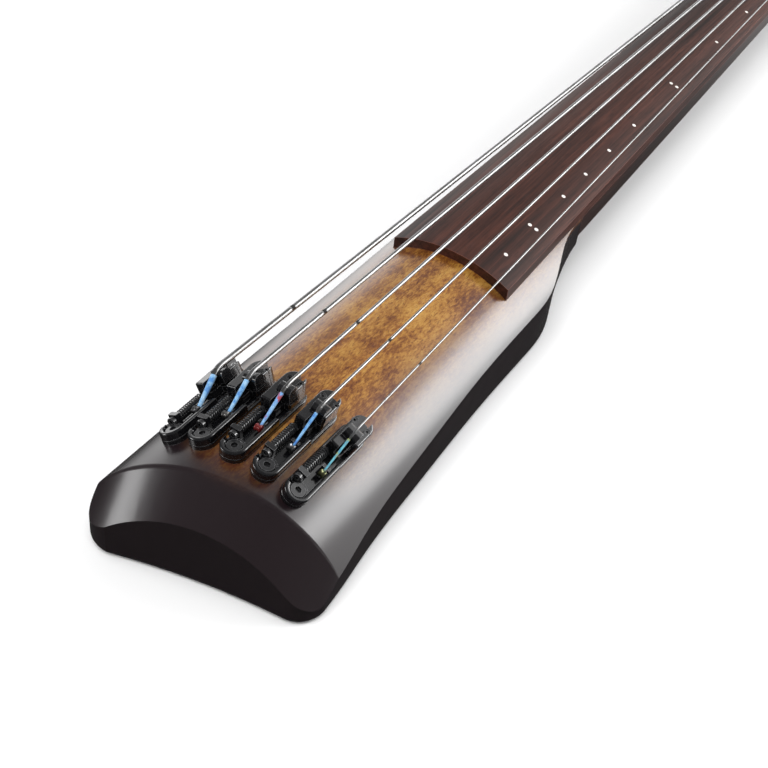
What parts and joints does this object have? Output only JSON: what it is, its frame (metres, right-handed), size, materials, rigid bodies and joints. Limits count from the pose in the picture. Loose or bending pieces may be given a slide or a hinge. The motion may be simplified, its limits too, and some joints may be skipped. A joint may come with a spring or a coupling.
{
  "type": "electric double bass",
  "caption": "Compact solid-body electric upright double bass with arched front, fretless fingerboard, adjustable single-string bridges and worm-drive tuners.",
  "frame": {"origin": "on the flat back of the body, on the string centreline, under the saddle line", "axes": "+Y from the saddles towards the head, +Z out of the front, +X towards the treble side; the instrument lies on its back"},
  "size_m": [0.1312, 1.1716, 0.0723],
  "materials": {
    "burst_lacquer": "amber to near-black burst lacquer over figured brown wood, satin gloss",
    "neck_wood": "dark stained wood, satin",
    "fingerboard_wood": "fine-grained dark brown hardwood, oiled",
    "pearl_plastic": "white inlay",
    "nut_plastic": "black, polished",
    "rod_steel": "plain steel",
    "black_plastic": "black, fine texture",
    "circuit_board": "green board with components",
    "battery_jacket": "printed steel can, left plain",
    "plated_steel": "nickel plated",
    "black_bridge_metal": "gloss black coating on cast metal",
    "black_screw_steel": "black oxide steel",
    "string_steel": "round-wound steel with coloured silk at the tail",
    "black_tuner_metal": "black coating on steel"
  },
  "bodies": {
    "bass": {"body": "burst_lacquer", "neck": "neck_wood", "fingerboard": "fingerboard_wood", "position_dots": "pearl_plastic", "nut": "nut_plastic", "truss_rod": "rod_steel", "truss_rod_cover": "black_plastic", "control_cover": "black_plastic", "stand_plate": "plated_steel", "back_screws": "black_screw_steel", "preamp": "circuit_board", "output_jack": "plated_steel", "battery_box": "black_plastic", "battery": "battery_jacket", "bridge_mounting_screws": "black_screw_steel", "intonation_springs": "black_screw_steel", "tuner_bushings": "black_tuner_metal", "tuner_plates": "black_tuner_metal", "tuner_screws": "black_screw_steel", "bridge_base_1": "black_bridge_metal", "bridge_base_2": "black_bridge_metal", "bridge_base_3": "black_bridge_metal", "bridge_base_4": "black_bridge_metal", "bridge_base_5": "black_bridge_metal", "string_1": "string_steel", "string_2": "string_steel", "string_3": "string_steel", "string_4": "string_steel", "string_5": "string_steel"},
    "truss_nut": {"truss_rod_nut": "rod_steel"},
    "volume_knob": {"knob_volume": "black_plastic"},
    "bass_knob": {"knob_bass": "black_plastic"},
    "treble_knob": {"knob_treble": "black_plastic"},
    "lid": {"battery_lid": "black_plastic"},
    "intonation_1": {"intonation_screw_1": "black_screw_steel"},
    "slider_1": {"bridge_slider_1": "black_bridge_metal"},
    "saddle_1": {"bridge_saddle_1": "black_bridge_metal"},
    "intonation_2": {"intonation_screw_2": "black_screw_steel"},
    "slider_2": {"bridge_slider_2": "black_bridge_metal"},
    "saddle_2": {"bridge_saddle_2": "black_bridge_metal"},
    "intonation_3": {"intonation_screw_3": "black_screw_steel"},
    "slider_3": {"bridge_slider_3": "black_bridge_metal"},
    "saddle_3": {"bridge_saddle_3": "black_bridge_metal"},
    "intonation_4": {"intonation_screw_4": "black_screw_steel"},
    "slider_4": {"bridge_slider_4": "black_bridge_metal"},
    "saddle_4": {"bridge_saddle_4": "black_bridge_metal"},
    "intonation_5": {"intonation_screw_5": "black_screw_steel"},
    "slider_5": {"bridge_slider_5": "black_bridge_metal"},
    "saddle_5": {"bridge_saddle_5": "black_bridge_metal"},
    "key_1": {"tuner_key_1": "black_tuner_metal"},
    "post_1": {"tuner_post_1": "black_tuner_metal"},
    "key_2": {"tuner_key_2": "black_tuner_metal"},
    "post_2": {"tuner_post_2": "black_tuner_metal"},
    "key_3": {"tuner_key_3": "black_tuner_metal"},
    "post_3": {"tuner_post_3": "black_tuner_metal"},
    "key_4": {"tuner_key_4": "black_tuner_metal"},
    "post_4": {"tuner_post_4": "black_tuner_metal"},
    "key_5": {"tuner_key_5": "black_tuner_metal"},
    "post_5": {"tuner_post_5": "black_tuner_metal"}
  },
  "joints": [
    {"name": "truss_nut_turn", "type": "hinge", "parent": "bass", "child": "truss_nut", "pos_m": [0, 0.879, 0.0446], "axis": [0, 1, 0], "range_deg": [-360, 360]},
    {"name": "volume_knob_turn", "type": "hinge", "parent": "bass", "child": "volume_knob", "pos_m": [-0.057, 0.05, 0.011], "axis": [-1, 0, 0], "range_deg": [-135, 135]},
    {"name": "bass_knob_turn", "type": "hinge", "parent": "bass", "child": "bass_knob", "pos_m": [-0.057, 0.076, 0.011], "axis": [-1, 0, 0], "range_deg": [-135, 135]},
    {"name": "treble_knob_turn", "type": "hinge", "parent": "bass", "child": "treble_knob", "pos_m": [-0.057, 0.102, 0.011], "axis": [-1, 0, 0], "range_deg": [-135, 135]},
    {"name": "battery_lid_hinge", "type": "hinge", "parent": "bass", "child": "lid", "pos_m": [0, 0.1426, 0.0015], "axis": [-1, 0, 0], "range_deg": [0, 95]},
    {"name": "intonation_screw_1_turn", "type": "hinge", "parent": "bass", "child": "intonation_1", "pos_m": [0.03062, -0.0184, 0.05415], "axis": [0, 1, 0], "range_deg": [-2530, 2530]},
    {"name": "bridge_slider_1_slide", "type": "slide", "parent": "bass", "child": "slider_1", "axis": [0, 1, 0], "range_m": [-0.0049, 0.0049], "deforming": ["string_1", "intonation_springs"]},
    {"name": "bridge_saddle_1_height", "type": "slide", "parent": "slider_1", "child": "saddle_1", "axis": [0.4415, 0, 0.8973], "range_m": [-0.001, 0.0015], "deforming": ["string_1"]},
    {"name": "intonation_screw_2_turn", "type": "hinge", "parent": "bass", "child": "intonation_2", "pos_m": [0.01236, -0.0192, 0.05943], "axis": [0, 1, 0], "range_deg": [-2530, 2530]},
    {"name": "bridge_slider_2_slide", "type": "slide", "parent": "bass", "child": "slider_2", "axis": [0, 1, 0], "range_m": [-0.0049, 0.0049], "deforming": ["string_2", "intonation_springs"]},
    {"name": "bridge_saddle_2_height", "type": "slide", "parent": "slider_2", "child": "saddle_2", "axis": [0.2113, 0, 0.9774], "range_m": [-0.0015, 0.0015], "deforming": ["string_2"]},
    {"name": "intonation_screw_3_turn", "type": "hinge", "parent": "bass", "child": "intonation_3", "pos_m": [-0.00664, -0.02, 0.06013], "axis": [0, 1, 0], "range_deg": [-2530, 2530]},
    {"name": "bridge_slider_3_slide", "type": "slide", "parent": "bass", "child": "slider_3", "axis": [0, 1, 0], "range_m": [-0.0049, 0.0049], "deforming": ["string_3", "intonation_springs"]},
    {"name": "bridge_saddle_3_height", "type": "slide", "parent": "slider_3", "child": "saddle_3", "axis": [-0.0314, 0, 0.9995], "range_m": [-0.0015, 0.0015], "deforming": ["string_3"]},
    {"name": "intonation_screw_4_turn", "type": "hinge", "parent": "bass", "child": "intonation_4", "pos_m": [-0.02525, -0.0208, 0.05621], "axis": [0, 1, 0], "range_deg": [-2530, 2530]},
    {"name": "bridge_slider_4_slide", "type": "slide", "parent": "bass", "child": "slider_4", "axis": [0, 1, 0], "range_m": [-0.0049, 0.0049], "deforming": ["string_4", "intonation_springs"]},
    {"name": "bridge_saddle_4_height", "type": "slide", "parent": "slider_4", "child": "saddle_4", "axis": [-0.2723, 0, 0.9622], "range_m": [-0.0015, 0.0015], "deforming": ["string_4"]},
    {"name": "intonation_screw_5_turn", "type": "hinge", "parent": "bass", "child": "intonation_5", "pos_m": [-0.04236, -0.0216, 0.04791], "axis": [0, 1, 0], "range_deg": [-2530, 2530]},
    {"name": "bridge_slider_5_slide", "type": "slide", "parent": "bass", "child": "slider_5", "axis": [0, 1, 0], "range_m": [-0.0049, 0.0049], "deforming": ["string_5", "intonation_springs"]},
    {"name": "bridge_saddle_5_height", "type": "slide", "parent": "slider_5", "child": "saddle_5", "axis": [-0.497, 0, 0.8678], "range_m": [-0.0015, 0.0015], "deforming": ["string_5"]},
    {"name": "tuner_key_1_turn", "type": "hinge", "parent": "bass", "child": "key_1", "pos_m": [0.0445, 0.94586, 0.01799], "axis": [1, 0, 0], "continuous": true},
    {"name": "tuner_post_1_turn", "type": "hinge", "parent": "bass", "child": "post_1", "pos_m": [0.0245, 0.93855, 0.04853], "axis": [0, 0.1668, 0.986], "continuous": true},
    {"name": "tuner_key_2_turn", "type": "hinge", "parent": "bass", "child": "key_2", "pos_m": [0.0405, 0.9853, 0.01132], "axis": [1, 0, 0], "continuous": true},
    {"name": "tuner_post_2_turn", "type": "hinge", "parent": "bass", "child": "post_2", "pos_m": [0.0205, 0.97799, 0.04186], "axis": [0, 0.1668, 0.986], "continuous": true},
    {"name": "tuner_key_3_turn", "type": "hinge", "parent": "bass", "child": "key_3", "pos_m": [-0.038, 1.00502, 0.00798], "axis": [-1, 0, 0], "continuous": true},
    {"name": "tuner_post_3_turn", "type": "hinge", "parent": "bass", "child": "post_3", "pos_m": [-0.018, 0.99771, 0.03853], "axis": [0, 0.1668, 0.986], "continuous": true},
    {"name": "tuner_key_4_turn", "type": "hinge", "parent": "bass", "child": "key_4", "pos_m": [-0.042, 0.96558, 0.01465], "axis": [-1, 0, 0], "continuous": true},
    {"name": "tuner_post_4_turn", "type": "hinge", "parent": "bass", "child": "post_4", "pos_m": [-0.022, 0.95827, 0.0452], "axis": [0, 0.1668, 0.986], "continuous": true},
    {"name": "tuner_key_5_turn", "type": "hinge", "parent": "bass", "child": "key_5", "pos_m": [-0.0455, 0.92614, 0.02132], "axis": [-1, 0, 0], "continuous": true},
    {"name": "tuner_post_5_turn", "type": "hinge", "parent": "bass", "child": "post_5", "pos_m": [-0.0255, 0.91883, 0.05187], "axis": [0, 0.1668, 0.986], "continuous": true}
  ],
  "couplings": [
    {"joint": "intonation_screw_1_turn", "follows": "bridge_slider_1_slide", "rad_per_m": 8976},
    {"joint": "intonation_screw_2_turn", "follows": "bridge_slider_2_slide", "rad_per_m": 8976},
    {"joint": "intonation_screw_3_turn", "follows": "bridge_slider_3_slide", "rad_per_m": 8976},
    {"joint": "intonation_screw_4_turn", "follows": "bridge_slider_4_slide", "rad_per_m": 8976},
    {"joint": "intonation_screw_5_turn", "follows": "bridge_slider_5_slide", "rad_per_m": 8976},
    {"joint": "tuner_post_1_turn", "follows": "tuner_key_1_turn", "ratio": 0.05},
    {"joint": "tuner_post_2_turn", "follows": "tuner_key_2_turn", "ratio": 0.05},
    {"joint": "tuner_post_3_turn", "follows": "tuner_key_3_turn", "ratio": -0.05},
    {"joint": "tuner_post_4_turn", "follows": "tuner_key_4_turn", "ratio": -0.05},
    {"joint": "tuner_post_5_turn", "follows": "tuner_key_5_turn", "ratio": -0.05}
  ]
}
